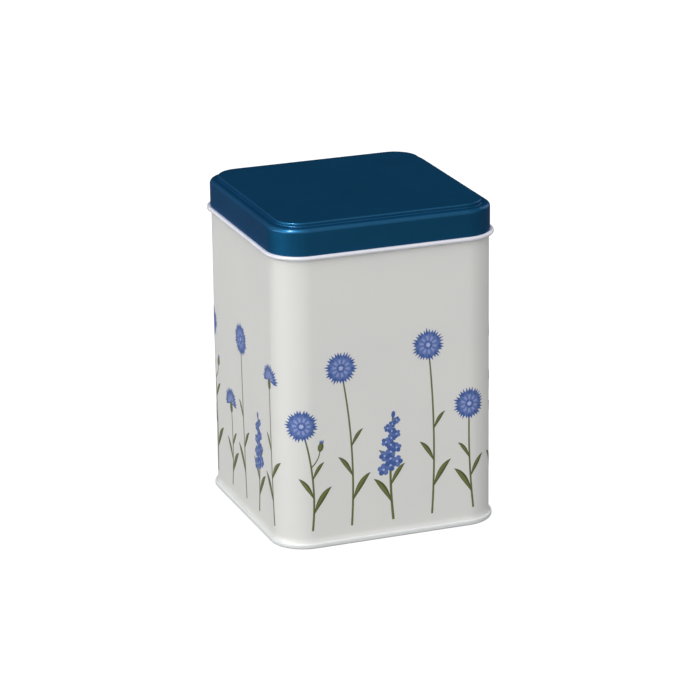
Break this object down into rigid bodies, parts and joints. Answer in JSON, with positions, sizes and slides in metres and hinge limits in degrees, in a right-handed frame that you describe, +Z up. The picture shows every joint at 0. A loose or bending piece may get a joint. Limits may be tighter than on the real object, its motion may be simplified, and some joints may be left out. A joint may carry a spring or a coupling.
{
  "type": "cookie tin",
  "caption": "Tall square storage tin with rounded corners, a stepped pull-off lid with a rolled edge, and a rolled bottom seam.",
  "frame": {"origin": "middle of the footprint, on the surface that the tin stands on", "axes": "+Z up through the lid; -Y is the front; the wall's upright lock seam is in the middle of the back, on +Y"},
  "size_m": [0.1042, 0.1042, 0.145],
  "materials": {
    "wall_enamel": "off-white satin lacquer on tinplate",
    "base_enamel": "white satin lacquer on tinplate",
    "lid_enamel": "navy satin lacquer outside, white lacquer inside",
    "petal_ink": "blue printing ink under satin varnish",
    "leaf_ink": "olive green printing ink under satin varnish"
  },
  "bodies": {
    "tin": {"body_wall": "wall_enamel", "base_plate": "base_enamel"},
    "lid": {"lid": "lid_enamel"}
  },
  "joints": [
    {"name": "lid_lift", "type": "slide", "parent": "tin", "child": "lid", "axis": [0, 0, 1], "range_m": [0, 0.04]}
  ]
}
